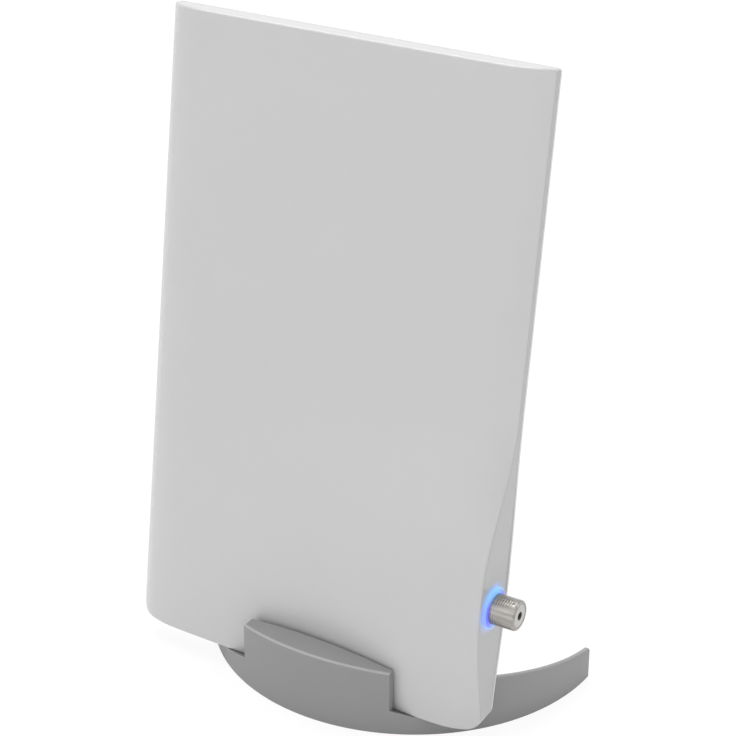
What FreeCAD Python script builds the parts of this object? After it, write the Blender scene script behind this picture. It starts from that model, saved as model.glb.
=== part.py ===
import FreeCAD, Part
import math
import os

Vector = FreeCAD.Vector

# Panel: X runs across it, Y from front to back, Z up, with its bottom front line on the axes
panel_width = 127.8
panel_height = 200.5
panel_corner = 1.0
foot_corner = 4.0
edge_thickness = 3.4
front_crown = 6.3
crown_power = 12
front_edge_round = 0.8
rear_edge_round = 0.8
lean_angle = 8.9

# Swelling of the lower half, which grows from the left edge towards the socket
swell_depth = 13.5
swell_height = 43.65
swell_rise = 54.0
swell_fall = 66.0
swell_power = 1.5
crown_fade_power = 3
rear_swell = 1.9
rear_swell_fall = 44.0

# Walls and the seam between the two mouldings
front_wall = 1.2
side_wall = 1.6
rear_wall = 1.2
rear_rim = 1.5
seam = 0.2

# Screws that hold the rear cover
cover_screw_radius = 1.0
cover_screw_head_radius = 1.9
cover_screw_length = 3.2
cover_boss_radius = 2.6
cover_boss_inset = 12.0
cross_slot_depth = 0.6
cross_slot_width = 0.5
screw_clearance = 0.08
screw_tip_room = 0.3

# Stand: a half-ring band around the vertical axis, with its tongue at the front
stand_radius = 65.6
stand_wall = 2.0
stand_end_angle = 89.2
stand_edge_round = 0.7
tongue_width = 52.8
tongue_side_height = 21.9
tongue_arch = 1.5
arm_height = 19.5
arm_slope_angle = 10.9
slot_height = 6.5
slot_clearance = 0.3
slot_ramp_angle = 30.0
shelf_thickness = 2.0
panel_offset = 10.2
panel_from_axis = 47.98

# Aerial socket on the right side
socket_height = 40.65
socket_depth = -5.2
thread_radius = 4.76
thread_length = 8.1
nose_round = 1.0
neck_radius = 4.3
socket_bore_radius = 3.5
socket_flange_width = 11.0
socket_flange_length = 2.5
stub_radius = 3.0
stub_length = 4.5
insulator_recess = 0.15
insulator_clearance = 0.05
contact_radius = 0.95
contact_bore_radius = 0.55
contact_recess = 0.5
contact_bore_depth = 7.0
contact_tail_radius = 0.5
contact_tail_length = 3.0
funnel_radius = 1.3
nut_width = 8.0
nut_length = 2.0
washer_radius = 4.2
washer_thickness = 0.5
thread_fit = 0.05

# Light ring around the socket
ring_radius = 6.4
ring_flange_radius = 6.7
ring_flange_length = 1.5
ring_proud = 1.2
ring_round = 0.5
ring_clearance = 0.1

# Antenna board, staked to the rear cover
antenna_board_width = 86.0
antenna_board_height = 92.0
antenna_board_inset = 8.0
antenna_board_thickness = 0.8
stake_pad_radius = 2.4
stake_pad_height = 0.4
stake_radius = 1.0
stake_rise = 0.4
stake_clearance = 0.1
stake_inset = 4.0
copper_thickness = 0.1
element_reach = 39.0
element_flare = 68.0
element_feed_height = 8.0
element_corner = 5.0
feed_gap = 3.0
feed_track_width = 1.6
feed_track_inset = 3.0
balun_side = 4.0
balun_height = 1.4

# Amplifier board, screwed to posts of the rear cover
amplifier_board_width = 47.4
amplifier_board_height = 42.0
amplifier_board_drop = 3.0
amplifier_board_rim = 0.2
amplifier_board_thickness = 1.2
board_clearance = 0.3
board_post_radius = 2.4
board_screw_radius = 0.9
board_screw_head_radius = 1.7
board_screw_head_height = 1.1
board_screw_grip = 1.3
board_screw_inset = 3.2

# Shield over the amplifier
shield_wall = 0.5
shield_length = 35.0
shield_width = 25.5
shield_height = 10.4
lid_skirt = 2.0
lid_clearance = 0.05

# Small parts on the amplifier board
amplifier_chip_size = (4.5, 2.6, 1.5)
filter_chip_size = (3.8, 3.8, 1.3)
regulator_chip_size = (6.5, 3.5, 1.7)
capacitor_size = (2.0, 1.25, 1.2)
capacitor_count = 5
capacitor_pitch = 3.6
led_size = (1.6, 3.2, 1.9)
choke_radius = 2.4
choke_wire_radius = 0.8

# Lead between the two boards
cable_radius = 0.7
cable_rest = 0.05
cable_pad_length = 6.0
cable_run_share = 0.3
cable_arc_share = 0.45

# Cutting tools: their reach past the outline, and how finely the curved faces are drawn
trim_margin = 4.0
surface_column_count = 25
surface_row_count = 37
curve_point_count = 13
match_tolerance = 0.05

half_width = panel_width / 2
swell_top = swell_height + swell_rise
right_wall_inside = half_width - side_wall
socket_seat = right_wall_inside - ring_flange_length
shield_right = socket_seat - socket_flange_length
thread_start = half_width + ring_proud
thread_end = thread_start + thread_length
antenna_board_back = edge_thickness - rear_wall - stake_pad_height
antenna_board_front = antenna_board_back - antenna_board_thickness
antenna_board_top = panel_height - antenna_board_inset
antenna_board_bottom = antenna_board_top - antenna_board_height
amplifier_board_depth = socket_depth + socket_flange_width / 2 + board_clearance
amplifier_board_back = amplifier_board_depth + amplifier_board_thickness
amplifier_right = shield_right + amplifier_board_rim
amplifier_left = amplifier_right - amplifier_board_width
amplifier_bottom = socket_height - amplifier_board_drop - amplifier_board_height / 2
amplifier_top = amplifier_bottom + amplifier_board_height
shield_left = shield_right - shield_length
shield_bottom = socket_height - shield_width / 2
shield_top = socket_height + shield_width / 2
RIGHT = Vector(1, 0, 0)
BACK = Vector(0, 1, 0)
UP = Vector(0, 0, 1)


def block(x, y, z):
    """Box between two corners, each axis given as a (low, high) pair."""
    corner = Vector(x[0], y[0], z[0])
    return Part.makeBox(x[1] - x[0], y[1] - y[0], z[1] - z[0], corner)


def rod(radius, start, end, axis_x, axis_z):
    """Cylinder along the panel's depth, from one depth to another."""
    return Part.makeCylinder(radius, end - start, Vector(axis_x, start, axis_z), BACK)


def socket_rod(radius, start, end):
    """Cylinder on the socket's axis, between two places across the panel."""
    return Part.makeCylinder(radius, end - start, Vector(start, socket_depth, socket_height), RIGHT)


def socket_hexagon(width, start, end):
    """Hexagonal prism on the socket's axis, with two flats facing front and back."""
    corner_radius = width / math.sqrt(3)
    points = []
    for step in range(7):
        angle = math.radians(60 * step)
        across = corner_radius * math.sin(angle)
        along = corner_radius * math.cos(angle)
        points.append(Vector(start, socket_depth + across, socket_height + along))
    return Part.Face(Part.makePolygon(points)).extrude(RIGHT * (end - start))


def swell_share(height, fall):
    """How much of a full swelling the panel has at a height, from 0 to 1, given its run below."""
    run = swell_rise if height > swell_height else fall
    phase = (height - swell_height) / run
    return math.cos(phase * math.pi / 2) ** 2 if abs(phase) < 1 else 0.0


def front_depth(x, height):
    """Depth of the front face, negative where it stands forward: the swelling takes over from the crown."""
    across = max(0.0, (x + half_width) / panel_width) ** swell_power
    swell = swell_share(height, swell_fall) * across
    crown = front_crown * (1 - abs(x / half_width) ** crown_power)
    return -crown * (1 - swell ** crown_fade_power) - swell_depth * swell


def rear_depth(height):
    """Depth of the back face at a height."""
    return edge_thickness + rear_swell * swell_share(height, rear_swell_fall)


def spaced(low, high, count):
    """Evenly spaced values from low to high."""
    return [low + (high - low) * step / (count - 1) for step in range(count)]


def crowded(low, high, count):
    """Values from low to high that crowd together towards both."""
    middle, half = (low + high) / 2, (high - low) / 2
    return [middle - half * math.cos(math.pi * step / (count - 1)) for step in range(count)]


def behind_front(offset):
    """Everything behind the front face moved back by an offset."""
    columns = crowded(-half_width - trim_margin, half_width + trim_margin, surface_column_count)
    rows = spaced(-trim_margin, panel_height + trim_margin, surface_row_count)
    grid = [[Vector(x, front_depth(x, z) + offset, z) for z in rows] for x in columns]
    surface = Part.BSplineSurface()
    surface.interpolate(grid)
    reach = swell_depth + front_crown + edge_thickness + rear_swell
    return surface.toShape().extrude(BACK * (2 * reach))


def rear_edges(offset):
    """Line of the back face in the panel's middle plane, moved forward by an offset."""
    x = -half_width - trim_margin
    heights = spaced(-trim_margin, swell_top, curve_point_count)
    points = [Vector(x, rear_depth(z) - offset, z) for z in heights]
    curve = Part.BSplineCurve()
    curve.interpolate(Points=points)
    top = Vector(x, edge_thickness - offset, panel_height + trim_margin)
    return curve.toShape(), Part.LineSegment(points[-1], top).toShape(), points[0], top


def ahead_of_rear(offset):
    """Everything ahead of the back face moved forward by an offset."""
    curve, line, bottom, top = rear_edges(offset)
    ahead = -2 * (swell_depth + front_crown)
    far_top = Vector(top.x, ahead, top.z)
    far_bottom = Vector(bottom.x, ahead, bottom.z)
    closing = Part.makePolygon([top, far_top, far_bottom, bottom])
    wire = Part.Wire([curve, line] + closing.Edges)
    return Part.Face(wire).extrude(RIGHT * (panel_width + 2 * trim_margin))


def outline(inset):
    """Prism on the panel's outline, drawn in by an inset, with a foot that is level once leaned."""
    reach = 2 * (swell_depth + front_crown + edge_thickness + rear_swell)
    turn = math.radians(lean_angle)
    foot = inset / math.cos(turn)
    fall = reach * math.tan(turn)
    left = -half_width + inset
    top = panel_height - inset
    side = [
        Vector(left, -reach, foot - fall),
        Vector(left, reach, foot + fall),
        Vector(left, reach, top),
        Vector(left, -reach, top),
    ]
    face = Part.Face(Part.makePolygon(side + side[:1]))
    prism = face.extrude(RIGHT * (panel_width - 2 * inset))
    for corner, low in ((panel_corner, False), (foot_corner, True)):
        lengthwise = [edge for edge in prism.Edges if along_depth(edge)]
        edges = [edge for edge in lengthwise if (middle_of(edge).z < panel_height / 2) == low]
        prism = prism.makeFillet(max(corner - inset, front_wall / 2), edges)
    return prism


def cavity():
    """Room inside the panel, between the front moulding's walls and the rear cover."""
    room = outline(side_wall).common(behind_front(front_wall))
    return room.common(ahead_of_rear(rear_wall))


def cover_screw_places():
    """Places of the cover screws, as (across, height) pairs."""
    across = half_width - cover_boss_inset
    heights = (cover_boss_inset, panel_height - cover_boss_inset)
    return [(x, z) for z in heights for x in (-across, across)]


def board_screw_places():
    """Places of the amplifier board's screws, as (across, height) pairs."""
    across = (amplifier_left + board_screw_inset, amplifier_right - board_screw_inset)
    heights = (amplifier_bottom + board_screw_inset, amplifier_top - board_screw_inset)
    return [(x, z) for z in heights for x in across]


def stake_places():
    """Places of the stakes that hold the antenna board, as (across, height) pairs."""
    across = antenna_board_width / 2 - stake_inset
    heights = (antenna_board_bottom + stake_inset, antenna_board_top - stake_inset)
    return [(x, z) for z in heights for x in (-across, across)]


def middle_of(edge):
    """Middle point of an edge."""
    return edge.valueAt((edge.FirstParameter + edge.LastParameter) / 2)


def along_depth(edge):
    """Whether an edge is straight and runs from front to back."""
    box = edge.BoundBox
    return box.YLength > box.XLength + box.ZLength


def front_edges(body):
    """Edges of the front face, which lie on the outline and not along the depth."""
    chosen = []
    for edge in body.Edges:
        middle = middle_of(edge)
        on_front = abs(middle.y - front_depth(middle.x, middle.z)) < match_tolerance
        if on_front and not along_depth(edge):
            chosen.append(edge)
    return chosen


def back_edges(plate):
    """Edges of the back face, which lie on the outline and not along the depth."""
    chosen = []
    for edge in plate.Edges:
        middle = middle_of(edge)
        on_back = abs(middle.y - rear_depth(middle.z)) < match_tolerance
        if on_back and not along_depth(edge):
            chosen.append(edge)
    return chosen


def front_shell():
    """Front moulding: crowned face, side walls, screw bosses and the socket's hole."""
    body = outline(0).common(behind_front(0)).common(ahead_of_rear(rear_rim + seam))
    body = body.makeFillet(front_edge_round, front_edges(body))
    room = cavity()
    shell = body.cut(room)
    for x, z in cover_screw_places():
        boss = rod(cover_boss_radius, front_depth(x, z), rear_depth(z), x, z)
        shell = shell.fuse(boss.common(room).common(ahead_of_rear(rear_wall + seam)))
    for x, z in cover_screw_places():
        tip = rear_depth(z) - cover_screw_length - screw_tip_room
        shell = shell.cut(rod(cover_screw_radius + screw_clearance, tip, rear_depth(z), x, z))
    hole = socket_rod(ring_radius + ring_clearance, right_wall_inside, half_width + ring_proud)
    return shell.cut(hole)


def rear_cover():
    """Rear moulding: curved plate with a rim, screw holes, stakes and board posts."""
    plate = outline(0).common(ahead_of_rear(0)).cut(ahead_of_rear(rear_rim))
    plate = plate.makeFillet(rear_edge_round, back_edges(plate))
    plate = plate.cut(outline(side_wall).common(ahead_of_rear(rear_wall)))
    stake_tip = antenna_board_front - stake_rise
    for x, z in stake_places():
        pad = rod(stake_pad_radius, antenna_board_back, rear_depth(z), x, z)
        plate = plate.fuse(pad.common(ahead_of_rear(rear_wall / 2)))
        plate = plate.fuse(rod(stake_radius, stake_tip, antenna_board_back, x, z))
    for x, z in board_screw_places():
        post = rod(board_post_radius, amplifier_board_back, rear_depth(z), x, z)
        plate = plate.fuse(post.common(ahead_of_rear(rear_wall / 2)))
    for x, z in board_screw_places():
        tip = amplifier_board_back + board_screw_grip + screw_tip_room
        hole = rod(board_screw_radius + screw_clearance, amplifier_board_back, tip, x, z)
        plate = plate.cut(hole)
    for x, z in cover_screw_places():
        plate = plate.cut(countersunk(x, z, screw_clearance))
    return plate


def countersunk(x, z, growth):
    """Countersunk screw let in flush with the back face, or its hole when grown."""
    back = rear_depth(z)
    taper = cover_screw_head_radius - cover_screw_radius
    shank_start = back - cover_screw_length - growth
    shank = rod(cover_screw_radius + growth, shank_start, back - taper, x, z)
    small = cover_screw_radius + growth
    large = cover_screw_head_radius + growth
    head = Part.makeCone(small, large, taper, Vector(x, back - taper, z), BACK)
    screw = shank.fuse(head)
    if growth > 0:
        return screw.fuse(rod(large, back, back + rear_swell, x, z))
    return screw.common(ahead_of_rear(0))


def cover_screws():
    """Screws that hold the rear cover, with cross slots."""
    screws = []
    for x, z in cover_screw_places():
        back = rear_depth(z)
        slot_half = cross_slot_width / 2
        reach = cover_screw_radius
        depth = (back - cross_slot_depth, back + rear_swell)
        flat = block((x - reach, x + reach), depth, (z - slot_half, z + slot_half))
        upright = block((x - slot_half, x + slot_half), depth, (z - reach, z + reach))
        screws.append(countersunk(x, z, 0).cut(flat).cut(upright))
    return Part.makeCompound(screws)


def antenna_board():
    """Board that carries the copper elements, with a hole for each stake."""
    half = antenna_board_width / 2
    depth = (antenna_board_front, antenna_board_back)
    board = block((-half, half), depth, (antenna_board_bottom, antenna_board_top))
    for x, z in stake_places():
        hole = rod(stake_radius + stake_clearance, depth[0], depth[1], x, z)
        board = board.cut(hole)
    return board


def element_middle():
    """Height of the feed, in the middle of the antenna board."""
    return (antenna_board_bottom + antenna_board_top) / 2


def element(side):
    """One flared copper arm of the aerial, on the left (-1) or the right (1)."""
    middle = element_middle()
    near = side * feed_gap / 2
    far = side * element_reach
    front = antenna_board_front - copper_thickness
    corners = [
        Vector(near, front, middle - element_feed_height / 2),
        Vector(far, front, middle - element_flare / 2),
        Vector(far, front, middle + element_flare / 2),
        Vector(near, front, middle + element_feed_height / 2),
    ]
    face = Part.Face(Part.makePolygon(corners + corners[:1]))
    plate = face.extrude(BACK * copper_thickness)
    outer = [edge for edge in plate.Edges
             if along_depth(edge) and abs(middle_of(edge).x - far) < match_tolerance]
    return plate.makeFillet(element_corner, outer)


def balun():
    """Small transformer that bridges the two elements at the feed."""
    half = balun_side / 2
    middle = element_middle()
    back = antenna_board_front - copper_thickness
    return block((-half, half), (back - balun_height, back), (middle - half, middle + half))


def feed_track():
    """Copper track from the balun down to the lead's pad."""
    half = feed_track_width / 2
    depth = (antenna_board_front - copper_thickness, antenna_board_front)
    bottom = antenna_board_bottom + feed_track_inset + cable_pad_length
    top = element_middle() - balun_side / 2
    return block((-half, half), depth, (bottom, top))


def jumper_cable():
    """Thin lead from the antenna board to the amplifier board, in runs joined by arcs."""
    upper = antenna_board_front - cable_radius - cable_rest
    lower = amplifier_board_depth - cable_radius - cable_rest
    across = (amplifier_left + shield_left) / 2
    room = antenna_board_bottom - amplifier_top
    start = Vector(0, upper, antenna_board_bottom + cable_pad_length)
    bend = Vector(0, upper, antenna_board_bottom - room * cable_run_share)
    turn = Vector(across, lower, amplifier_top + room * cable_run_share)
    end = Vector(across, lower, amplifier_top - cable_pad_length)
    path = rounded_path([start, bend, turn, end])
    ring = Part.Wire(Part.makeCircle(cable_radius, start, UP))
    return path.makePipeShell([ring], True, False)


def rounded_path(points):
    """Wire through points in straight runs, each corner rounded as far as its runs allow."""
    edges = []
    last = points[0]
    for before, corner, after in zip(points, points[1:], points[2:]):
        inward = (before - corner).normalize()
        onward = (after - corner).normalize()
        shorter = min(before.distanceToPoint(corner), after.distanceToPoint(corner))
        setback = shorter * cable_arc_share
        start = corner + inward * setback
        end = corner + onward * setback
        half_turn = (math.pi - inward.getAngle(onward)) / 2
        radius = setback / math.tan(half_turn)
        bisector = (inward + onward).normalize()
        middle = corner + bisector * (radius / math.cos(half_turn) - radius)
        edges.append(Part.LineSegment(last, start).toShape())
        edges.append(Part.Arc(start, middle, end).toShape())
        last = end
    edges.append(Part.LineSegment(last, points[-1]).toShape())
    return Part.Wire(edges)


def amplifier_board():
    """Board of the amplifier, with a hole for each screw."""
    depth = (amplifier_board_depth, amplifier_board_back)
    board = block((amplifier_left, amplifier_right), depth, (amplifier_bottom, amplifier_top))
    for x, z in board_screw_places():
        board = board.cut(rod(board_screw_radius + screw_clearance, depth[0], depth[1], x, z))
    return board


def board_screws():
    """Pan-head screws of the amplifier board."""
    screws = []
    for x, z in board_screw_places():
        front = amplifier_board_depth
        tip = amplifier_board_back + board_screw_grip
        head = rod(board_screw_head_radius, front - board_screw_head_height, front, x, z)
        screws.append(head.fuse(rod(board_screw_radius, front, tip, x, z)).removeSplitter())
    return Part.makeCompound(screws)


def shield_frame():
    """Folded sheet fence around the amplifier, with the hole for the socket's stub."""
    depth = (amplifier_board_depth - shield_height, amplifier_board_depth)
    outer = block((shield_left, shield_right), depth, (shield_bottom, shield_top))
    across = (shield_left + shield_wall, shield_right - shield_wall)
    inner = block(across, depth, (shield_bottom + shield_wall, shield_top - shield_wall))
    hole = socket_rod(stub_radius + thread_fit, shield_right - shield_wall, shield_right)
    return outer.cut(inner).cut(hole)


def shield_lid():
    """Sheet lid on the fence, with a skirt on the two long sides."""
    front = amplifier_board_depth - shield_height
    depth = (front - shield_wall, front)
    grown = shield_wall + lid_clearance
    across = (shield_left, shield_right)
    lid = block(across, depth, (shield_bottom - grown, shield_top + grown))
    skirt_depth = (front, front + lid_skirt)
    lower = block(across, skirt_depth, (shield_bottom - grown, shield_bottom - lid_clearance))
    upper = block(across, skirt_depth, (shield_top + lid_clearance, shield_top + grown))
    return lid.fuse(lower).fuse(upper).removeSplitter()


def on_amplifier_board(size, x, z):
    """Small block seated on the amplifier board's front face, centred on a place."""
    width, height, rise = size
    depth = (amplifier_board_depth - rise, amplifier_board_depth)
    return block((x - width / 2, x + width / 2), depth, (z - height / 2, z + height / 2))


def shield_place(across, up):
    """Place inside the shield, as shares of its width and height."""
    x = shield_left + (shield_right - shield_left) * across
    return x, shield_bottom + (shield_top - shield_bottom) * up


def amplifier_chip():
    """Low-noise amplifier, in the middle of the shield."""
    return on_amplifier_board(amplifier_chip_size, *shield_place(0.4, 0.5))


def filter_chip():
    """Band filter, between the lead and the amplifier."""
    return on_amplifier_board(filter_chip_size, *shield_place(0.17, 0.5))


def regulator_chip():
    """Voltage regulator, on the board outside the shield."""
    middle = (shield_left + shield_right) / 2
    return on_amplifier_board(regulator_chip_size, middle, (amplifier_bottom + shield_bottom) / 2)


def capacitors():
    """Row of chip capacitors along the shield's foot."""
    first_x, z = shield_place(0.2, 0.2)
    row = [on_amplifier_board(capacitor_size, first_x + capacitor_pitch * step, z)
           for step in range(capacitor_count)]
    return Part.makeCompound(row)


def choke_coil():
    """Ring-shaped choke that feeds power from the socket's contact."""
    x, z = shield_place(0.4, 0.82)
    centre = Vector(x, amplifier_board_depth - choke_wire_radius, z)
    ring = Part.makeTorus(choke_radius, choke_wire_radius, centre, BACK)
    flat = block((x - choke_radius, x + choke_radius),
                 (amplifier_board_depth - choke_wire_radius, amplifier_board_depth),
                 (z - choke_wire_radius / 2, z + choke_wire_radius / 2))
    return ring.fuse(flat).removeSplitter()


def status_led():
    """Blue lamp at the board's right edge, beside the light ring."""
    x = amplifier_right - led_size[0] / 2
    z = (shield_bottom + amplifier_bottom + board_screw_inset + board_screw_head_radius) / 2
    return on_amplifier_board(led_size, x, z)


def light_ring():
    """Clear ring through the side wall, with a flange behind it."""
    ring = socket_rod(ring_radius, right_wall_inside, thread_start)
    rim = []
    for edge in ring.Edges:
        centre = edge.CenterOfMass
        if abs(centre.x - thread_start) < ring_round / 4 and edge.Length > ring_radius:
            rim.append(edge)
    ring = ring.makeFillet(ring_round, rim)
    ring = ring.fuse(socket_rod(ring_flange_radius, socket_seat, right_wall_inside))
    bore = socket_rod(neck_radius + ring_clearance, socket_seat, thread_start)
    return ring.removeSplitter().cut(bore)


def socket_body():
    """Plated socket: threaded barrel, neck inside the ring, hexagonal flange and rear stub."""
    barrel = socket_rod(thread_radius, thread_start, thread_end)
    mouth = [edge for edge in barrel.Edges if edge.BoundBox.XMin > thread_end - nose_round]
    barrel = barrel.makeFillet(nose_round, mouth)
    neck = socket_rod(neck_radius, socket_seat, thread_start)
    flange = socket_hexagon(socket_flange_width, shield_right, socket_seat)
    stub = socket_rod(stub_radius, shield_right - stub_length, shield_right)
    body = barrel.fuse(neck).fuse(flange).fuse(stub).removeSplitter()
    bore = socket_rod(socket_bore_radius, socket_seat, thread_end)
    passage = socket_rod(contact_radius + insulator_clearance, shield_right - stub_length, thread_end)
    return body.cut(bore).cut(passage)


def socket_insulator():
    """Insulator in the socket's bore, with a funnel that guides the plug's pin."""
    front = thread_end - insulator_recess
    body = socket_rod(socket_bore_radius - insulator_clearance, socket_seat, front)
    body = body.cut(socket_rod(contact_radius + insulator_clearance, socket_seat, front))
    start = Vector(thread_end - contact_recess, socket_depth, socket_height)
    slope = contact_recess - insulator_recess
    funnel = Part.makeCone(contact_radius, funnel_radius, slope, start, RIGHT)
    return body.cut(funnel)


def socket_contact():
    """Centre contact: a tube for the plug's pin, with a tail to the amplifier board."""
    front = thread_end - contact_recess
    back = shield_right - stub_length
    tube = socket_rod(contact_radius, back, front)
    tube = tube.cut(socket_rod(contact_bore_radius, front - contact_bore_depth, front))
    return tube.fuse(socket_rod(contact_tail_radius, back - contact_tail_length, back))


def socket_washer():
    """Washer between the shield's wall and the nut."""
    start = shield_right - shield_wall - washer_thickness
    end = shield_right - shield_wall
    ring = socket_rod(washer_radius, start, end)
    return ring.cut(socket_rod(stub_radius + thread_fit, start, end))


def socket_nut():
    """Nut on the socket's stub, inside the shield."""
    end = shield_right - shield_wall - washer_thickness
    start = end - nut_length
    return socket_hexagon(nut_width, start, end).cut(socket_rod(stub_radius + thread_fit, start, end))


def leaned(shape):
    """Panel piece leaned back and set in the stand's slot."""
    placed = shape.copy()
    placed.rotate(Vector(0, 0, 0), RIGHT, -lean_angle)
    placed.translate(Vector(-panel_offset, -panel_from_axis, slot_height))
    return placed


def lean_point(depth, height):
    """Where a point of the panel's side view comes to lie, as (y, z) in the stand's frame."""
    turn = math.radians(lean_angle)
    y = depth * math.cos(turn) + height * math.sin(turn) - panel_from_axis
    return y, slot_height - depth * math.sin(turn) + height * math.cos(turn)


def foot_front(low, high):
    """Foremost place of the panel's foot over a span of the stand's X."""
    places = spaced(low + panel_offset, high + panel_offset, surface_column_count)
    depth = min(front_depth(x, 0) for x in places)
    return depth / math.cos(math.radians(lean_angle)) - panel_from_axis


def side_view_prism(low, high, corners):
    """Prism over a span of X on a side view given as (y, z) corners."""
    points = [Vector(low, y, z) for y, z in corners]
    return Part.Face(Part.makePolygon(points + points[:1])).extrude(RIGHT * (high - low))


def notch(low, high, front, rear_gap):
    """Cut for the panel: a level floor, a rear wall that leans with it, and its front's corners."""
    turn = math.radians(lean_angle)
    back_foot = lean_point(rear_gap, rear_gap * math.tan(turn))
    back_top = lean_point(rear_gap, 2 * tongue_side_height)
    return side_view_prism(low, high, front + [back_foot, back_top, (front[0][0], back_top[1])])


def band_top():
    """Space above the band: arched over the tongue and falling along the arms."""
    high = 2 * tongue_side_height
    reach = stand_radius + trim_margin
    half = tongue_width / 2
    arch_radius = (half ** 2 + tongue_arch ** 2) / (2 * tongue_arch)
    crest = tongue_side_height + tongue_arch
    front = -panel_from_axis
    arch = Part.makeCylinder(arch_radius, reach, Vector(0, -reach, crest - arch_radius), BACK)
    above_tongue = block((-reach, reach), (-reach, front), (0, high)).cut(arch)
    arm_end = arm_height - (reach - front) * math.tan(math.radians(arm_slope_angle))
    corners = [(front, arm_height), (reach, arm_end), (reach, high), (front, high)]
    return above_tongue.fuse(side_view_prism(-reach, reach, corners))


def shelf():
    """Plate inside the band's front, which carries the panel's foot."""
    bottom = slot_height - shelf_thickness
    inside = stand_radius - stand_wall / 2
    disc = Part.makeCylinder(inside, shelf_thickness, Vector(0, 0, bottom), UP)
    behind = block((-inside, inside), (-panel_from_axis, inside), (bottom, slot_height))
    return disc.cut(behind)


def ledge():
    """Plate that closes the tongue's top as far as the panel, before its arch is cut."""
    bottom = tongue_side_height - shelf_thickness
    crest = tongue_side_height + tongue_arch
    inside = stand_radius - stand_wall / 2
    half = tongue_width / 2
    disc = Part.makeCylinder(inside, crest - bottom, Vector(0, 0, bottom), UP)
    return disc.common(block((-half, half), (-stand_radius, -panel_from_axis), (bottom, crest)))


def slot_front(x):
    """Front of the slot at a place across the stand, just clear of the panel."""
    heights = spaced(0, tongue_side_height - slot_height, curve_point_count)
    places = [lean_point(front_depth(x + panel_offset, z), z)[0] for z in heights]
    return min(places + [foot_front(x, x)]) - slot_clearance


def tongue_slot():
    """Cut behind the tongue, whose front follows the panel's."""
    half = tongue_width / 2
    corners = [(-half, slot_front(-half)), (half, slot_front(half)), (half, 0), (-half, 0)]
    points = [Vector(x, y, slot_height) for x, y in corners]
    return Part.Face(Part.makePolygon(points + points[:1])).extrude(UP * (2 * tongue_side_height))


def stand():
    """Half-ring band with its tongue, arms, shelf and ledge, and the slot that the panel stands in."""
    high = tongue_side_height + tongue_arch
    sweep = 2 * stand_end_angle
    outer = Part.makeCylinder(stand_radius, high, Vector(0, 0, 0), UP, sweep)
    inner = Part.makeCylinder(stand_radius - stand_wall, high, Vector(0, 0, 0), UP, sweep)
    band = outer.cut(inner)
    band.rotate(Vector(0, 0, 0), UP, -90 - stand_end_angle)
    band = band.fuse(ledge()).cut(band_top()).cut(tongue_slot())
    half = tongue_width / 2
    reach = stand_radius + trim_margin
    rear_gap = rear_depth(arm_height - slot_height) + slot_clearance
    slope = math.tan(math.radians(slot_ramp_angle))
    panel_left = -half_width - panel_offset
    panel_right = half_width - panel_offset
    for inner_end, outer_end, panel_end in ((-half, -reach, panel_left), (half, reach, panel_right)):
        ramp_foot = foot_front(*sorted((inner_end, panel_end))) + front_edge_round / 2
        ramp_top = slot_height + (ramp_foot + reach) * slope
        front = [(-reach, ramp_top), (ramp_foot, slot_height)]
        band = band.cut(notch(*sorted((inner_end, outer_end)), front, rear_gap))
    band = band.fuse(shelf()).removeSplitter()
    return band.makeFillet(stand_edge_round, top_edges(band))


def top_edges(band):
    """Long upper edges of the tongue and the arms."""
    shortest = 2 * stand_wall
    chosen = []
    for edge in band.Edges:
        box = edge.BoundBox
        on_tongue = abs(middle_of(edge).x) < tongue_width / 2
        floor = tongue_side_height - shelf_thickness / 2 if on_tongue else (slot_height + arm_height) / 2
        level = max(box.XLength, box.YLength) > box.ZLength
        if box.ZMax > floor and level and edge.Length > shortest:
            chosen.append(edge)
    return chosen


panel_pieces = {
    "front_shell": front_shell(),
    "rear_cover": rear_cover(),
    "cover_screws": cover_screws(),
    "antenna_board": antenna_board(),
    "left_element": element(-1),
    "right_element": element(1),
    "feed_track": feed_track(),
    "balun": balun(),
    "jumper_cable": jumper_cable(),
    "amplifier_board": amplifier_board(),
    "board_screws": board_screws(),
    "shield_frame": shield_frame(),
    "shield_lid": shield_lid(),
    "amplifier_chip": amplifier_chip(),
    "filter_chip": filter_chip(),
    "regulator_chip": regulator_chip(),
    "capacitors": capacitors(),
    "choke_coil": choke_coil(),
    "status_led": status_led(),
    "light_ring": light_ring(),
    "socket_body": socket_body(),
    "socket_insulator": socket_insulator(),
    "socket_contact": socket_contact(),
    "socket_washer": socket_washer(),
    "socket_nut": socket_nut(),
}

pieces = {name: leaned(shape) for name, shape in panel_pieces.items()}
pieces["stand"] = stand()

# The origin is the middle of the whole antenna's foot
whole = Part.makeCompound(list(pieces.values())).optimalBoundingBox()
to_origin = Vector(-whole.Center.x, -whole.Center.y, -whole.ZMin)

os.makedirs("parts", exist_ok=True)
for name, shape in pieces.items():
    shape.translate(to_origin)
    shape.exportStep(os.path.join("parts", name + ".step"))
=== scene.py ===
import math

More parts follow.
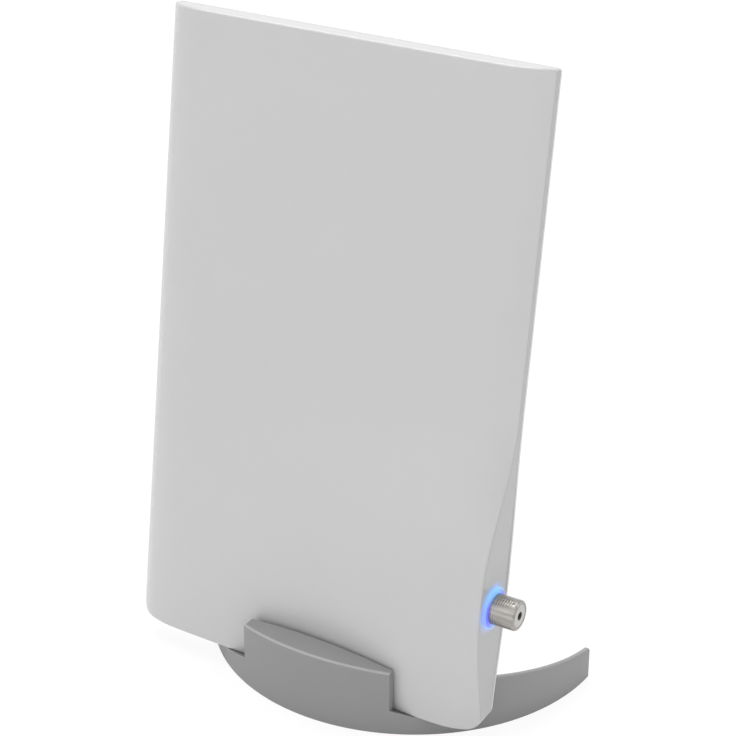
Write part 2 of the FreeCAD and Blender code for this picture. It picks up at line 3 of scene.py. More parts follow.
import bmesh
import bpy
from bpy.props import FloatProperty, FloatVectorProperty, IntProperty, PointerProperty
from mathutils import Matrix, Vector


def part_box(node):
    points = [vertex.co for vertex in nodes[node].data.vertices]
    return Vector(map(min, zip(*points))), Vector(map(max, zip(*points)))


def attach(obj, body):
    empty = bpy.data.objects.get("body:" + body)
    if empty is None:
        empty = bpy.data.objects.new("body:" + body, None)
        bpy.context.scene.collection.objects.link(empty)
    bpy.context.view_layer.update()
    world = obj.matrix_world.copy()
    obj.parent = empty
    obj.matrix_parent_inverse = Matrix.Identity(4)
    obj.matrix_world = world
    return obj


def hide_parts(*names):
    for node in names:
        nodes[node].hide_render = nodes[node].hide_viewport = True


bl_info = {
    "name": "Indoor television antenna",
    "version": (1, 0, 0),
    "blender": (4, 5, 0),
    "location": "View3D > Sidebar > Antenna",
    "description": "Finishes the antenna's solids, threads its socket and sets up its studio",
    "category": "Object",
}

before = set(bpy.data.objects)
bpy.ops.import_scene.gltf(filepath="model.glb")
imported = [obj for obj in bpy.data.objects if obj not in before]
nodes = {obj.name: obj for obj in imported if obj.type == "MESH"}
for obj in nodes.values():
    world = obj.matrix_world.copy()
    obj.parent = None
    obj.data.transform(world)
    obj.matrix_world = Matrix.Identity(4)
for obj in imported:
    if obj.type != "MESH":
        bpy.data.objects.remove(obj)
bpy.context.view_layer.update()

MILLIMETRE = 0.001
BLACK = (0.0, 0.0, 0.0, 1.0)
WHITE = (1.0, 1.0, 1.0, 1.0)
SHARP_ANGLE = math.radians(40)
SENSOR_WIDTH = 36.0
NEAREST_SEEN = 0.01


class Wire:
    """Output of a shader node, on which maths is written as Python expressions."""

    def __init__(self, finish, socket):
        self.finish = finish
        self.socket = socket

    def maths(self, operation, first, second=0.0):
        """Math node on two values."""
        return self.finish.node("ShaderNodeMath", {"operation": operation}, {0: first, 1: second})

    def __add__(self, other):
        return self.maths("ADD", self, other)

    def __radd__(self, other):
        return self.maths("ADD", other, self)

    def __sub__(self, other):
        return self.maths("SUBTRACT", self, other)

    def __rsub__(self, other):
        return self.maths("SUBTRACT", other, self)

    def __mul__(self, other):
        return self.maths("MULTIPLY", self, other)

    def __rmul__(self, other):
        return self.maths("MULTIPLY", other, self)

    def __truediv__(self, other):
        return self.maths("DIVIDE", self, other)

    def __rtruediv__(self, other):
        return self.maths("DIVIDE", other, self)

    def root(self):
        """Square root of the value."""
        return self.maths("SQRT", self)

    def wave(self):
        """Wave from 0 to 1, whose turns are 2 pi of the value long."""
        return 0.5 + 0.5 * self.maths("SINE", self)

    def bearing(self, across):
        """Angle of the point that is this value up and another value across."""
        return self.maths("ARCTAN2", self, across)


class Finish:
    """Shader tree of a material or a world, written out node by node."""

    def __init__(self, owner):
        self.owner = owner
        owner.use_nodes = True
        self.tree = owner.node_tree
        self.tree.nodes.clear()

    def node(self, kind, settings=None, inputs=None, output=0):
        """Node of a type, with its settings set first and then its sockets."""
        made = self.tree.nodes.new(kind)
        for name, value in (settings or {}).items():
            setattr(made, name, value)
        for key, value in (inputs or {}).items():
            if isinstance(value, Wire):
                self.tree.links.new(value.socket, made.inputs[key])
            else:
                made.inputs[key].default_value = value
        return Wire(self, made.outputs[output]) if made.outputs else None

    def place(self):
        """Position on the object, in metres in the antenna's own frame."""
        return self.node("ShaderNodeTexCoord", output="Object")

    def parts(self, vector):
        """A vector's three values."""
        outputs = self.node("ShaderNodeSeparateXYZ", inputs={0: vector}).socket.node.outputs
        return [Wire(self, outputs[index]) for index in range(3)]

    def axes(self):
        """The position's three values."""
        return self.parts(self.place())

    def upturn(self):
        """How far the surface faces up, from -1 to 1."""
        return self.parts(self.node("ShaderNodeNewGeometry", output="Normal"))[2]

    def speckle(self, size, detail=2.0, roughness=0.5):
        """Noise from 0 to 1 with lumps of about a size, in metres."""
        inputs = {"Vector": self.place(), "Scale": 1 / size,
                  "Detail": detail, "Roughness": roughness}
        return self.node("ShaderNodeTexNoise", inputs=inputs)

    def streaks(self, size, stretch):
        """Noise from 0 to 1 in streaks of about a width, drawn out by a factor along X."""
        inputs = {0: self.place(), 1: (1 / stretch, 1.0, 1.0)}
        place = self.node("ShaderNodeVectorMath", {"operation": "MULTIPLY"}, inputs)
        inputs = {"Vector": place, "Scale": 1 / size, "Detail": 2.0}
        return self.node("ShaderNodeTexNoise", inputs=inputs)

    def smooth(self, value, low, high):
        """Value eased from 0 at one limit to 1 at the other."""
        settings = {"interpolation_type": "SMOOTHSTEP"}
        return self.node("ShaderNodeMapRange", settings, {"Value": value, 1: low, 2: high})

    def blend(self, share, first, second):
        """Colour that goes from the first to the second as a share goes from 0 to 1."""
        inputs = {0: share, 6: first, 7: second}
        return self.node("ShaderNodeMix", {"data_type": "RGBA"}, inputs, output=2)

    def varied(self, share, colour, darkest, lightest):
        """Colour that goes from a darker to a lighter tone as a share goes from 0 to 1."""
        return self.blend(share, opaque(colour, darkest), opaque(colour, lightest))

    def relief(self, height, depth):
        """Normal of a bumpy surface, from a height of 0 to 1 and its depth in metres."""
        return self.node("ShaderNodeBump", inputs={"Height": height, "Distance": depth})

    def mixed(self, share, first, second):
        """Shader that goes from the first to the second as a share goes from 0 to 1."""
        return self.node("ShaderNodeMixShader", inputs={0: share, 1: first, 2: second})

    def close(self, shader):
        """Connects the shader to the tree's output and gives back the owner."""
        is_world = isinstance(self.owner, bpy.types.World)
        kind = "ShaderNodeOutputWorld" if is_world else "ShaderNodeOutputMaterial"
        self.node(kind, inputs={"Surface": shader})
        return self.owner

    def surface(self, inputs):
        """Closes the tree with a principled surface that has these values or links."""
        return self.close(self.node("ShaderNodeBsdfPrincipled", inputs=inputs))


def new_finish(name):
    """Empty finish on a new material."""
    return Finish(bpy.data.materials.new(name))


def opaque(colour, shade=1.0):
    """RGBA colour from an RGB one, made lighter or darker by a factor."""
    return tuple(min(1.0, part * shade) for part in colour) + (1.0,)


def uneven(level, share, spread):
    """Level that goes up and down by half a spread as a share goes from 0 to 1."""
    return level + spread * (share - 0.5)


def dress(name, material):
    """Gives a solid its material."""
    solid = nodes[name]
    solid.data.materials.clear()
    solid.data.materials.append(material)


def socket_axis():
    """Point on the socket's axis, in the middle of the light ring."""
    low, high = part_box("light_ring")
    return (low + high) / 2


def around_socket(finish):
    """Distance from the socket's axis and the height above it, for each point of a surface."""
    centre = socket_axis()
    _, depth, height = finish.axes()
    forward = depth - centre.y
    upward = height - centre.z
    return (forward * forward + upward * upward).root(), upward


def parting_depth(lean):
    """How far back the front shell's side wall reaches, square to the leaning panel."""
    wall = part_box("front_shell")[1].x - MILLIMETRE
    points = (vertex.co for vertex in nodes["front_shell"].data.vertices)
    return max(point.y * math.cos(lean) - point.z * math.sin(lean)
               for point in points if point.x > wall)


def side_painted_shade(finish, panel, colour, white, wall_painted_shade, seam_painted_shade):
    """Colour with painted shade on the side wall, and more painted shade towards the parting line's
    groove.
    """
    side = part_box("front_shell")[1].x
    parting = parting_depth(panel.lean)
    across, depth, height = finish.axes()
    back = depth * math.cos(panel.lean) - height * math.sin(panel.lean)
    # Painted shade: the side wall's tone is darkened, and darkened again towards the parting line's
    # groove.
    wall = finish.smooth(across, side - panel.wall_start, side - panel.wall_full)
    seam = wall * finish.smooth(back, parting - panel.seam_reach, parting)
    colour = finish.blend(wall, colour, opaque(white, wall_painted_shade))
    return finish.blend(seam, colour, opaque(white, wall_painted_shade * seam_painted_shade))


def painted_ring_glow(finish, ring):
    """Painted glow: the ring's light, painted as emission a little way into the white plastic."""
    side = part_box("front_shell")[1].x
    away, _ = around_socket(finish)
    across = finish.axes()[0]
    near = 1 - finish.smooth(away, ring.radius, ring.radius + ring.glow_reach)
    level = finish.smooth(across, side - ring.glow_depth, side)
    return finish.blend(near * near * level * ring.glow_strength, BLACK, opaque(ring.glow))


def white_moulding(settings, name, white, wall_painted_shade, seam_painted_shade, grain_depth, roughness):
    """White plastic with a faint moulded ripple, with painted shade on its side wall and painted
    glow where the ring's light spreads in it.
    """
    panel = settings.panel
    ripple_share = 0.7
    finish = new_finish(name)
    ripple = finish.speckle(panel.ripple_size)
    grain = finish.speckle(panel.grain_size, detail=3.0)
    cloud = finish.speckle(panel.cloud_size, detail=1.0)
    colour = finish.varied(cloud, white, darkest=0.985, lightest=1.015)
    height = ripple_share * ripple + (1 - ripple_share) * grain
    return finish.surface({
        "Base Color": side_painted_shade(finish, panel, colour, white, wall_painted_shade, seam_painted_shade),
        "Roughness": uneven(roughness, grain, spread=0.06),
        "IOR": 1.5,
        "Normal": finish.relief(height, grain_depth),
        # Painted glow of the ring in the white plastic.
        "Emission Color": painted_ring_glow(finish, settings.ring),
        "Emission Strength": 1.0,
    })


def painted_rim_highlight(finish, stand):
    """Mask of a painted highlight: 1 on the tongue's rim, which faces up at the stand's outer
    radius, and 0 elsewhere.
    """
    width_full, drop_full = 0.7, 0.8
    tilt_start, tilt_full = 0.2, 0.6
    low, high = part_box("stand")
    radius = (high.x - low.x) / 2
    across, depth, height = finish.axes()
    sideways = across - (low.x + high.x) / 2
    backward = depth - (low.y + radius)
    away = (sideways * sideways + backward * backward).root()
    outer = finish.smooth(away, radius - stand.rim_highlight_width, radius - stand.rim_highlight_width * width_full)
    # The painted highlight only goes on the rim where it faces up towards the light.
    facing = finish.smooth(finish.upturn(), tilt_start, tilt_full)
    top = finish.smooth(height, high.z - stand.rim_highlight_drop, high.z - stand.rim_highlight_drop * drop_full)
    return outer * facing * top


def grey_moulding(stand):
    """Satin grey plastic with a fine eroded grain, with a painted highlight along the tongue's
    upward-facing rim.
    """
    finish = new_finish("grey satin plastic")
    grain = finish.speckle(stand.grain_size, detail=3.0, roughness=0.6)
    cloud = finish.speckle(stand.cloud_size, detail=2.0)
    colour = finish.varied(cloud, stand.grey, darkest=0.97, lightest=1.03)
    # Paler grey of the painted highlight on the tongue's rim.
    pale = opaque(stand.grey, stand.rim_highlight)
    return finish.surface({
        "Base Color": finish.blend(painted_rim_highlight(finish, stand), colour, pale),
        "Roughness": uneven(stand.roughness, grain, spread=0.1),
        "IOR": 1.48,
        "Normal": finish.relief(grain, stand.grain_depth),
    })


def lit_ring(ring):
    """Clear plastic lit from behind, with its own tones at the top, the foot and the rim."""
    top_start, top_full = 0.35, 0.95
    foot_start, foot_full = -0.45, -0.95
    rim_start, rim_share, flow_share = 0.92, 0.6, 0.12
    unlit_shade = 0.15
    finish = new_finish("lit ring plastic")
    away, upward = around_socket(finish)
    turn = upward / ring.radius
    rim = finish.smooth(away, ring.radius * rim_start, ring.radius)
    flow = finish.speckle(ring.flow_size, detail=1.0)
    high = finish.smooth(turn, top_start, top_full)
    low = finish.smooth(turn, foot_start, foot_full)
    colour = finish.blend(high, opaque(ring.colour), opaque(ring.top))
    colour = finish.blend(low, colour, opaque(ring.foot))
    colour = finish.blend(uneven(rim * rim_share, flow, flow_share), colour, opaque(ring.rim))
    return finish.surface({
        "Base Color": opaque(ring.colour, unlit_shade),
        "Roughness": 0.2,
        "IOR": 1.49,
        "Emission Color": colour,
        "Emission Strength": ring.strength,
    })


def plated_metal(name, colour, roughness, line_size):
    """Plated metal with fine turning lines around the socket's axis, soft stains, and streaks along
    the axis that are partly plating streaks and partly painted reflection.
    """
    stain_size, streak_width, streak_stretch = 1.6 * MILLIMETRE, 1.3 * MILLIMETRE, 12.0
    streak_start, streak_full, streak_share = 0.3, 0.7, 0.7
    line_depth, line_roughness = 0.003 * MILLIMETRE, 0.03
    finish = new_finish(name)
    across = finish.axes()[0]
    away, _ = around_socket(finish)
    lines = ((across + away) * (math.tau / line_size)).wave()
    stain = finish.speckle(stain_size, detail=3.0)
    # Streaks along the axis: partly plating streaks, partly painted reflection stripes.
    streak = finish.smooth(finish.streaks(streak_width, streak_stretch), streak_start, streak_full)
    tone = (1 - streak_share) * stain + streak_share * streak
    return finish.surface({
        "Base Color": finish.varied(tone, colour, darkest=0.68, lightest=1.22),
        "Metallic": 1.0,
        "Roughness": uneven(roughness, stain, spread=0.1) + line_roughness * lines,
        "Normal": finish.relief(lines, line_depth),
    })


def rolled_sheet(name, colour, roughness):
    """Sheet metal with a rolled grain along it and soft stains."""
    grain_width, grain_stretch, grain_depth = 0.25 * MILLIMETRE, 16.0, 0.004 * MILLIMETRE
    stain_size = 5 * MILLIMETRE
    finish = new_finish(name)
    grain = finish.streaks(grain_width, grain_stretch)
    stain = finish.speckle(stain_size)
    return finish.surface({
        "Base Color": finish.varied(stain, colour, darkest=0.88, lightest=1.05),
        "Metallic": 1.0,
        "Roughness": uneven(roughness, grain, spread=0.16),
        "Normal": finish.relief(grain, grain_depth),
    })


def moulded_plastic(name, colour, roughness, grain_depth):
    """Plain moulded plastic or resin with a fine grain."""
    grain_size = 0.15 * MILLIMETRE
    finish = new_finish(name)
    grain = finish.speckle(grain_size, detail=3.0)
    return finish.surface({
        "Base Color": finish.varied(grain, colour, darkest=0.92, lightest=1.08),
        "Roughness": uneven(roughness, grain, spread=0.12),
        "Normal": finish.relief(grain, grain_depth),
    })


def insulator_plastic(socket):
    """Pale moulded plastic, with painted shade in the funnel that leads to the contact."""
    grain_size, grain_depth = 0.3 * MILLIMETRE, 0.006 * MILLIMETRE
    funnel_start, funnel_painted_shade = 0.8, 0.02
    finish = new_finish("insulator plastic")
    grain = finish.speckle(grain_size, detail=3.0)
    away, _ = around_socket(finish)
    # Painted shade: the funnel around the contact is darkened nearly to black.
    face = finish.smooth(away, socket.funnel_radius * funnel_start, socket.funnel_radius)
    tone = finish.varied(grain, socket.insulator, darkest=0.92, lightest=1.08)
    return finish.surface({
        "Base Color": finish.blend(face, opaque(socket.insulator, funnel_painted_shade), tone),
        "Roughness": 0.42,
        "Normal": finish.relief(grain, grain_depth),
    })


def board_laminate(inside):
    """Green solder mask, darker over the weave of the glass cloth under it."""
    thread_width, thread_depth, cloud_size = 0.6 * MILLIMETRE, 0.006 * MILLIMETRE, 9 * MILLIMETRE
    weave_share = 0.6
    finish = new_finish("board laminate")
    across, _, height = finish.axes()
    pitch = math.tau / thread_width
    weave = 0.5 * (across * pitch).wave() + 0.5 * (height * pitch).wave()
    cloud = finish.speckle(cloud_size)
    tone = weave_share * weave + (1 - weave_share) * cloud
    return finish.surface({
        "Base Color": finish.blend(tone, opaque(inside.mask_dark), opaque(inside.mask_light)),
        "Roughness": uneven(level=0.39, share=cloud, spread=0.1),
        "Normal": finish.relief(weave, thread_depth),
    })


def wound_wire(inside):
    """Enamelled copper wire, wound side by side around the choke, with painted shade between the
    turns.
    """
    turn_count, wire_depth = 36, 0.1 * MILLIMETRE
    finish = new_finish("coil enamel")
    low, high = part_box("choke_coil")
    centre = (low + high) / 2
    across, _, height = finish.axes()
    turns = ((height - centre.z).bearing(across - centre.x) * turn_count).wave()
    return finish.surface({
        # Darker colour between the turns is painted shade.
        "Base Color": finish.blend(turns, opaque(inside.enamel_painted_shade), opaque(inside.enamel_light)),
        "Roughness": uneven(level=0.35, share=turns, spread=0.1),
        "Normal": finish.relief(turns, wire_depth),
        "Coat Weight": 0.5,
    })


def spun_rows(rows, count, place):
    """Points and faces of a closed band whose rows go once around an axis."""
    points = []
    for across, radius_at in rows:
        for step in range(count):
            angle = math.tau * step / count
            points.append(place(across, radius_at(across, angle), angle))
    faces = []
    for row in range(len(rows)):
        after = (row + 1) % len(rows)
        for step in range(count):
            beside = (step + 1) % count
            faces.append((row * count + step, row * count + beside,
                          after * count + beside, after * count + step))
    return points, faces


def plain(radius):
    """Radius that is the same all along and all around."""
    return lambda across, angle: radius


def hexagon(width):
    """Radius of a hexagon with a corner at the top, given its width across the flats."""
    sixth = math.tau / 6

    def radius_at(across, angle):
        return width / 2 / math.cos(angle % sixth - sixth / 2)

    return radius_at


def threaded(socket, start, end):
    """Radius of a screw thread that runs out at both ends."""
    pitch = socket.thread_pitch
    root_share, flank_share = 0.15, 0.6

    def radius_at(across, angle):
        turns = (across - start) / pitch - angle / math.tau
        ridge = abs(2 * (turns % 1.0) - 1)
        level = min(1.0, max(0.0, (ridge - root_share) / flank_share))
        level = level * level * (3 - 2 * level)
        run_out = max(0.0, min(1.0, (across - start) / pitch, (end - across) / pitch))
        return socket.thread_radius - socket.thread_depth * (1 - level) * run_out

    return radius_at


def socket_rows(socket):
    """Rows of the turned body, from its rear stub to its mouth and back through its bore."""
    low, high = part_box("socket_body")
    rear, mouth = low.x, high.x
    seat = rear + socket.stub_length + socket.flange_length
    barrel = mouth - socket.barrel_length
    break_edge = socket.edge_break
    nose = socket.nose_round
    rows = [
        (rear, plain(socket.passage_radius)),
        (rear, plain(socket.stub_radius - break_edge)),
        (rear + break_edge, plain(socket.stub_radius)),
        (seat, plain(socket.stub_radius)),
        (seat, plain(socket.neck_radius)),
        (barrel, plain(socket.neck_radius)),
        (barrel, plain(socket.thread_radius - break_edge)),
        (barrel + break_edge, plain(socket.thread_radius)),
    ]
    start, end = barrel + 2 * break_edge, mouth - nose
    steps = int((end - start) / socket.thread_pitch * socket.rows_per_turn)
    thread = threaded(socket, start, end)
    rows += [(start + (end - start) * step / steps, thread) for step in range(steps + 1)]
    for step in range(1, socket.nose_steps + 1):
        angle = math.pi / 2 * step / socket.nose_steps
        radius = socket.thread_radius - nose + nose * math.cos(angle)
        rows.append((end + nose * math.sin(angle), plain(radius)))
    rows += [
        (mouth, plain(socket.bore_radius + break_edge)),
        (mouth - break_edge, plain(socket.bore_radius)),
        (seat, plain(socket.bore_radius)),
        (seat, plain(socket.passage_radius)),
    ]
    return rows


def flange_rows(socket):
    """Rows of the hexagonal flange behind the light ring, with its corners broken."""
    low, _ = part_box("socket_body")
    rear = low.x + socket.stub_length
    seat = rear + socket.flange_length
    slope = socket.edge_break
    full, cut = hexagon(socket.flange_width), hexagon(socket.flange_width - 2 * slope)
    inner = plain(socket.stub_radius - slope)
    return [(rear, inner), (rear, cut), (rear + slope, full),
            (seat - slope, full), (seat, cut), (seat, inner)]


def socket_mesh(socket, lean):
    """Mesh of the turned body and its flange, square to the leaning panel's side."""
    centre = socket_axis()
    upward = Vector((0, math.sin(lean), math.cos(lean)))
    backward = Vector((0, math.cos(lean), -math.sin(lean)))

    def place(across, radius, angle):
        middle = Vector((across, centre.y, centre.z))
        return middle + upward * (radius * math.cos(angle)) + backward * (radius * math.sin(angle))

    points, faces = [], []
    for rows in (socket_rows(socket), flange_rows(socket)):
        more_points, more_faces = spun_rows(rows, socket.sides, place)
        first = len(points)
        points += more_points
        faces += [tuple(first + corner for corner in face) for face in more_faces]
    mesh = bpy.data.meshes.new("threaded_socket")
    mesh.from_pydata(points, [], faces)
    work = bmesh.new()
    work.from_mesh(mesh)
    bmesh.ops.recalc_face_normals(work, faces=work.faces)
    work.to_mesh(mesh)
    work.free()
    mesh.shade_smooth()
    mesh.set_sharp_from_angle(angle=SHARP_ANGLE)
    return mesh


class AntennaPanelSettings(bpy.types.PropertyGroup):
    """Finishes of the panel's two mouldings."""

    white: FloatVectorProperty(
        name="White", description="Colour of the front moulding", subtype="COLOR",
        size=3, min=0.0, max=1.0, default=(0.635, 0.635, 0.635))
    rear_white: FloatVectorProperty(
        name="Rear white", description="Colour of the rear cover", subtype="COLOR",
        size=3, min=0.0, max=1.0, default=(0.74, 0.74, 0.74))
    lean: FloatProperty(
        name="Lean", description="Angle at which the panel leans back", subtype="ANGLE",
        default=math.radians(8.9))
    # The side wall's darker tone and the darker band at the parting line are painted shade; these
    # settings set it.
    wall_painted_shade: FloatProperty(
        name="Wall shade", description="How much of the white is left on the front's side wall",
        subtype="FACTOR", min=0.0, max=1.0, default=0.80)
    wall_start: FloatProperty(
        name="Wall start", description="How far in from the side the wall's tone begins",
        unit="LENGTH", default=0.3 * MILLIMETRE)
    wall_full: FloatProperty(
        name="Wall full", description="How far in from the side the wall's tone is full",
        unit="LENGTH", default=0.075 * MILLIMETRE)
    seam_painted_shade: FloatProperty(
        name="Seam shade", description="How much of the wall's tone is left at the parting line",
        subtype="FACTOR", min=0.0, max=1.0, default=0.70)
    seam_reach: FloatProperty(
        name="Seam reach", description="How far from the parting line the wall begins to darken",
        unit="LENGTH", default=2.2 * MILLIMETRE)
    gloss_roughness: FloatProperty(
        name="Gloss roughness", description="Roughness of the front moulding",
        subtype="FACTOR", min=0.0, max=1.0, default=0.24)
    rear_roughness: FloatProperty(
        name="Rear roughness", description="Roughness of the rear cover",
        subtype="FACTOR", min=0.0, max=1.0, default=0.34)
    ripple_size: FloatProperty(
        name="Ripple size", description="Width of the faint ripple in the gloss",
        unit="LENGTH", default=3.5 * MILLIMETRE)
    grain_size: FloatProperty(
        name="Grain size", description="Width of the moulded grain",
        unit="LENGTH", default=0.35 * MILLIMETRE)
    cloud_size: FloatProperty(
        name="Cloud size", description="Width of the soft changes of tone",
        unit="LENGTH", default=40 * MILLIMETRE)
    gloss_grain_depth: FloatProperty(
        name="Gloss grain depth", description="Depth of the front moulding's grain",
        unit="LENGTH", default=0.004 * MILLIMETRE)
    rear_grain_depth: FloatProperty(
        name="Rear grain depth", description="Depth of the rear cover's grain",
        unit="LENGTH", default=0.012 * MILLIMETRE)


class AntennaStandSettings(bpy.types.PropertyGroup):
    """Finish of the stand."""

    grey: FloatVectorProperty(
        name="Grey", description="Colour of the stand's plastic", subtype="COLOR",
        size=3, min=0.0, max=1.0, default=(0.304, 0.304, 0.304))
    roughness: FloatProperty(
        name="Roughness", description="Roughness of the stand",
        subtype="FACTOR", min=0.0, max=1.0, default=0.46)
    grain_size: FloatProperty(
        name="Grain size", description="Width of the eroded grain",
        unit="LENGTH", default=0.35 * MILLIMETRE)
    grain_depth: FloatProperty(
        name="Grain depth", description="Depth of the eroded grain",
        unit="LENGTH", default=0.02 * MILLIMETRE)
    cloud_size: FloatProperty(
        name="Cloud size", description="Width of the soft changes of tone",
        unit="LENGTH", default=40 * MILLIMETRE)
    # The tongue's paler rim is a painted highlight; these three settings set it.
    rim_highlight: FloatProperty(
        name="Rim shade", description="How much paler the tongue's rubbed rim is",
        min=0.0, default=1.45)
    rim_highlight_width: FloatProperty(
        name="Rim width", description="Width of the tongue's rubbed rim",
        unit="LENGTH", default=0.9 * MILLIMETRE)
    rim_highlight_drop: FloatProperty(
        name="Rim drop", description="How far below the tongue's top the rubbed rim ends",
        unit="LENGTH", default=2.4 * MILLIMETRE)


class AntennaRingSettings(bpy.types.PropertyGroup):
    """Light of the ring around the socket."""

    colour: FloatVectorProperty(
        name="Colour", description="Colour of the lit ring at its sides", subtype="COLOR",
        size=3, min=0.0, max=1.0, default=(0.15, 0.17, 0.92))
    top: FloatVectorProperty(
        name="Top", description="Colour of the lit ring at its top", subtype="COLOR",
        size=3, min=0.0, max=1.0, default=(0.17, 0.49, 0.86))
    foot: FloatVectorProperty(
        name="Foot", description="Colour of the lit ring at its foot", subtype="COLOR",
        size=3, min=0.0, max=1.0, default=(0.24, 0.40, 0.76))
    rim: FloatVectorProperty(
        name="Rim", description="Colour of the lit ring's pale rim", subtype="COLOR",
        size=3, min=0.0, max=1.0, default=(0.36, 0.62, 0.98))
    strength: FloatProperty(
        name="Strength", description="How strongly the ring glows", min=0.0, default=1.0)
    radius: FloatProperty(
        name="Radius", description="Radius of the ring's face",
        unit="LENGTH", default=6.4 * MILLIMETRE)
    flow_size: FloatProperty(
        name="Flow size", description="Width of the streaks in the ring's light",
        unit="LENGTH", default=2.5 * MILLIMETRE)
    # The glow is painted light: emission painted into the white plastic around the ring.
    glow: FloatVectorProperty(
        name="Glow", description="Colour of the light that spreads in the white plastic",
        subtype="COLOR", size=3, min=0.0, max=1.0, default=(0.02, 0.08, 0.34))
    glow_strength: FloatProperty(
        name="Glow strength", description="How far the white plastic takes that colour",
        subtype="FACTOR", min=0.0, max=1.0, default=0.8)
    glow_reach: FloatProperty(
        name="Glow reach", description="How far the light spreads from the ring",
        unit="LENGTH", default=3.2 * MILLIMETRE)
    glow_depth: FloatProperty(
        name="Glow depth", description="How far the light spreads in from the side",
        unit="LENGTH", default=3.5 * MILLIMETRE)


class AntennaSocketSettings(bpy.types.PropertyGroup):
    """Sizes and colours of the aerial socket."""

    nickel: FloatVectorProperty(
        name="Nickel", description="Colour of the plating", subtype="COLOR",
        size=3, min=0.0, max=1.0, default=(0.38, 0.365, 0.345))
    # The contact's near-black colour is painted shade of the hole it sits in.
    brass: FloatVectorProperty(
        name="Brass", description="Colour of the tarnished contact", subtype="COLOR",
        size=3, min=0.0, max=1.0, default=(0.05, 0.04, 0.03))
    insulator: FloatVectorProperty(
        name="Insulator", description="Colour of the insulator in the bore", subtype="COLOR",
        size=3, min=0.0, max=1.0, default=(0.60, 0.60, 0.58))
    nickel_roughness: FloatProperty(
        name="Nickel roughness", description="Roughness of the plating",
        subtype="FACTOR", min=0.0, max=1.0, default=0.2)
    brass_roughness: FloatProperty(
        name="Brass roughness", description="Roughness of the contact",
        subtype="FACTOR", min=0.0, max=1.0, default=0.5)
    nickel_line_size: FloatProperty(
        name="Nickel line size", description="Distance between two turning lines of the plating",
        unit="LENGTH", default=0.11 * MILLIMETRE)
    brass_line_size: FloatProperty(
        name="Brass line size", description="Distance between two turning lines of the contact",
        unit="LENGTH", default=0.2 * MILLIMETRE)
    thread_radius: FloatProperty(
        name="Thread radius", description="Outer radius of the thread",
        unit="LENGTH", default=4.76 * MILLIMETRE)
    thread_pitch: FloatProperty(
        name="Thread pitch", description="Distance between two turns",
        unit="LENGTH", default=0.794 * MILLIMETRE)
    thread_depth: FloatProperty(
        name="Thread depth", description="Depth of the thread's groove",
        unit="LENGTH", default=0.035 * MILLIMETRE)
    barrel_length: FloatProperty(
        name="Barrel length", description="Length of the threaded barrel",
        unit="LENGTH", default=8.1 * MILLIMETRE)
    nose_round: FloatProperty(
        name="Nose round", description="Rounding of the barrel's mouth",
        unit="LENGTH", default=1.0 * MILLIMETRE)
    neck_radius: FloatProperty(
        name="Neck radius", description="Radius inside the light ring",
        unit="LENGTH", default=4.3 * MILLIMETRE)
    bore_radius: FloatProperty(
        name="Bore radius", description="Radius of the bore that holds the insulator",
        unit="LENGTH", default=3.5 * MILLIMETRE)
    # The dark funnel is painted shade on the insulator.
    funnel_radius: FloatProperty(
        name="Funnel radius", description="Radius of the dark funnel around the contact",
        unit="LENGTH", default=1.5 * MILLIMETRE)
    passage_radius: FloatProperty(
        name="Passage radius", description="Radius of the passage around the contact",
        unit="LENGTH", default=1.0 * MILLIMETRE)
    stub_radius: FloatProperty(
        name="Stub radius", description="Radius of the rear stub",
        unit="LENGTH", default=3.0 * MILLIMETRE)
    stub_length: FloatProperty(
        name="Stub length", description="Length of the rear stub",
        unit="LENGTH", default=4.5 * MILLIMETRE)
    flange_width: FloatProperty(
        name="Flange width", description="Width of the hexagon across its flats",
        unit="LENGTH", default=11.0 * MILLIMETRE)
    flange_length: FloatProperty(
        name="Flange length", description="Thickness of the hexagon",
        unit="LENGTH", default=2.5 * MILLIMETRE)
    edge_break: FloatProperty(
        name="Edge break", description="Small chamfer on the turned edges",
        unit="LENGTH", default=0.1 * MILLIMETRE)
    sides: IntProperty(
        name="Sides", description="Points around the socket, a multiple of six",
        min=24, default=96)
    nose_steps: IntProperty(
        name="Nose steps", description="Rows of points around the nose's rounding",
        min=2, default=8)
    rows_per_turn: IntProperty(
        name="Rows per turn", description="Rows of points along each turn of the thread",
        min=6, default=12)


